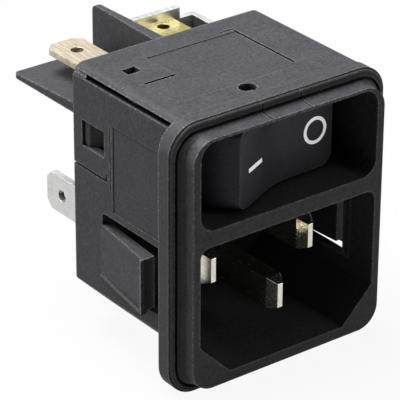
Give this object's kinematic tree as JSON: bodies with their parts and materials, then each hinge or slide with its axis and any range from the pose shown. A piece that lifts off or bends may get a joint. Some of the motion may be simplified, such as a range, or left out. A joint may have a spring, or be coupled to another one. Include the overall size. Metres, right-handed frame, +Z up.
{
  "type": "c14 panel inlet socket",
  "caption": "Snap-in mains inlet for a panel, with a recessed three-pin socket below and an on and off rocker switch above, and flat tabs behind.",
  "frame": {"origin": "centre of the flange's rear face, where it meets the panel", "axes": "+X right seen from the front, +Y back through the panel, +Z up"},
  "size_m": [0.0302, 0.0351, 0.0336],
  "materials": {
    "black_moulding": "fine satin, moulded",
    "plunger_moulding": "fine satin, moulded",
    "rocker_black": "smooth, moulded",
    "nickel": "bright nickel plate",
    "tin": "dull tin plate",
    "brass": "rolled sheet",
    "contact_silver": "pressed",
    "spring_steel": "drawn wire"
  },
  "bodies": {
    "inlet": {"front_housing": "black_moulding", "rear_cover": "black_moulding", "pin_carrier": "black_moulding", "switch_base": "black_moulding", "neutral_tab": "tin", "earth_tab": "tin", "line_strap": "tin", "switch_out_terminal": "tin", "switch_in_terminal": "brass", "fixed_contact": "contact_silver", "neutral_pin": "nickel", "line_pin": "nickel", "earth_pin": "nickel"},
    "switch_rocker": {"rocker": "rocker_black", "plunger": "plunger_moulding", "plunger_spring": "spring_steel"},
    "contact_seesaw": {"contact_bridge": "brass", "moving_contact": "contact_silver"}
  },
  "joints": [
    {"name": "rocker_swing", "type": "hinge", "parent": "inlet", "child": "switch_rocker", "pos_m": [0, 0.0051, 0], "axis": [0, 0, 1], "range_deg": [-27, 0]},
    {"name": "contact_tip", "type": "hinge", "parent": "inlet", "child": "contact_seesaw", "pos_m": [0, 0.0129, 0], "axis": [0, 0, 1], "range_deg": [0, 12]}
  ],
  "couplings": [
    {"joint": "contact_tip", "follows": "rocker_swing", "ratio": -0.44444}
  ]
}
